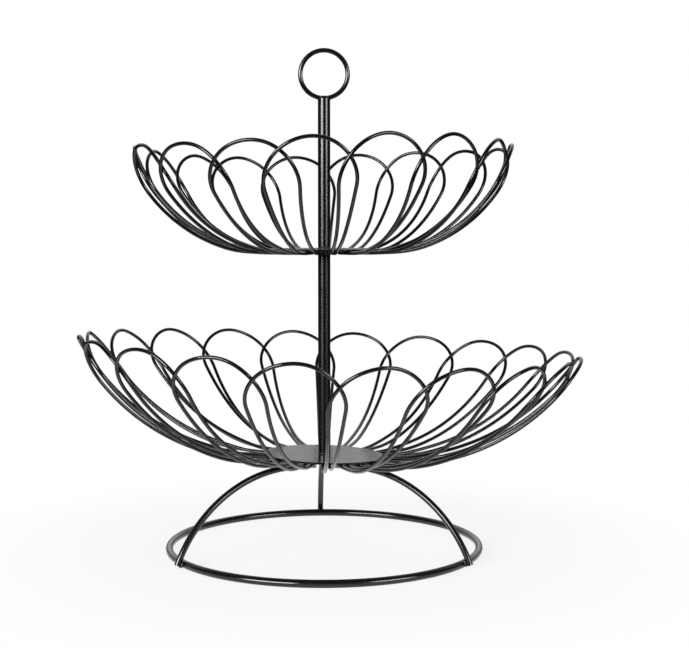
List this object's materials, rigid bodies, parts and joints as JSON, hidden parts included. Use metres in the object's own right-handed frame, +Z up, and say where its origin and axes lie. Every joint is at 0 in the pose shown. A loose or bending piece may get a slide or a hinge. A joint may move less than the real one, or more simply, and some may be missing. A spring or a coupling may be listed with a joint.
{
  "type": "tiered wire basket",
  "caption": "Tiered countertop basket: overlapping wire petals bent up into bowls on a screw-together pole, over arched legs on a ring base, with a carrying ring on top.",
  "frame": {"origin": "on the floor, in the middle of the base ring, under the pole", "axes": "+Z up along the pole; -Y to the front, where the carrying ring shows its face; +X to the right"},
  "size_m": [0.3146, 0.3165, 0.316],
  "materials": {
    "black_lacquered_steel": "smooth black baked lacquer on steel wire, satin to gloss",
    "zinc_plated_thread": "bright zinc-plated steel",
    "rubber_washer": "matt black rubber"
  },
  "bodies": {
    "base": {"base_ring": "black_lacquered_steel", "leg_back": "black_lacquered_steel", "leg_front_left": "black_lacquered_steel", "leg_front_right": "black_lacquered_steel", "hub_plate": "black_lacquered_steel", "base_stud": "zinc_plated_thread"},
    "lower_basket": {"lower_plate": "black_lacquered_steel", "lower_petal_01": "black_lacquered_steel", "lower_petal_02": "black_lacquered_steel", "lower_petal_03": "black_lacquered_steel", "lower_petal_04": "black_lacquered_steel", "lower_petal_05": "black_lacquered_steel", "lower_petal_06": "black_lacquered_steel", "lower_petal_07": "black_lacquered_steel", "lower_petal_08": "black_lacquered_steel", "lower_petal_09": "black_lacquered_steel", "lower_petal_10": "black_lacquered_steel", "lower_petal_11": "black_lacquered_steel", "lower_petal_12": "black_lacquered_steel", "lower_petal_13": "black_lacquered_steel", "lower_petal_14": "black_lacquered_steel", "lower_petal_15": "black_lacquered_steel", "lower_petal_16": "black_lacquered_steel", "lower_petal_17": "black_lacquered_steel", "lower_petal_18": "black_lacquered_steel", "lower_petal_19": "black_lacquered_steel", "lower_petal_20": "black_lacquered_steel"},
    "lower_seal": {"lower_washer": "rubber_washer"},
    "lower_pole": {"lower_pole": "black_lacquered_steel", "lower_pole_bottom_insert": "zinc_plated_thread", "lower_pole_top_insert": "zinc_plated_thread"},
    "upper_basket": {"upper_plate": "black_lacquered_steel", "upper_petal_01": "black_lacquered_steel", "upper_petal_02": "black_lacquered_steel", "upper_petal_03": "black_lacquered_steel", "upper_petal_04": "black_lacquered_steel", "upper_petal_05": "black_lacquered_steel", "upper_petal_06": "black_lacquered_steel", "upper_petal_07": "black_lacquered_steel", "upper_petal_08": "black_lacquered_steel", "upper_petal_09": "black_lacquered_steel", "upper_petal_10": "black_lacquered_steel", "upper_petal_11": "black_lacquered_steel", "upper_petal_12": "black_lacquered_steel", "upper_petal_13": "black_lacquered_steel", "upper_petal_14": "black_lacquered_steel", "upper_petal_15": "black_lacquered_steel", "upper_petal_16": "black_lacquered_steel", "upper_petal_17": "black_lacquered_steel"},
    "upper_seal": {"upper_washer": "rubber_washer"},
    "top_pole": {"upper_pole": "black_lacquered_steel", "upper_pole_stud": "zinc_plated_thread", "upper_pole_cap": "black_lacquered_steel", "handle_ring": "black_lacquered_steel"}
  },
  "joints": [
    {"name": "lower_basket_turn", "type": "hinge", "parent": "base", "child": "lower_basket", "pos_m": [0, 0, 0.05955], "axis": [0.0349, 0.0113, 0.9993], "continuous": true},
    {"name": "lower_pole_rise", "type": "slide", "parent": "base", "child": "lower_seal", "axis": [0, 0, 1], "range_m": [0, 0.007]},
    {"name": "lower_pole_unscrew", "type": "hinge", "parent": "lower_seal", "child": "lower_pole", "pos_m": [0, 0, 0.06094], "axis": [0, 0, 1], "range_deg": [0, 3600]},
    {"name": "upper_basket_turn", "type": "hinge", "parent": "lower_pole", "child": "upper_basket", "pos_m": [0, 0, 0.18985], "axis": [0, 0, 1], "continuous": true},
    {"name": "top_pole_rise", "type": "slide", "parent": "lower_pole", "child": "upper_seal", "axis": [0, 0, 1], "range_m": [0, 0.007]},
    {"name": "top_pole_unscrew", "type": "hinge", "parent": "upper_seal", "child": "top_pole", "pos_m": [0, 0, 0.19105], "axis": [0, 0, 1], "range_deg": [0, 3600]}
  ],
  "couplings": [
    {"joint": "lower_pole_unscrew", "follows": "lower_pole_rise", "rad_per_m": 8975.9},
    {"joint": "top_pole_unscrew", "follows": "top_pole_rise", "rad_per_m": 8975.9}
  ]
}
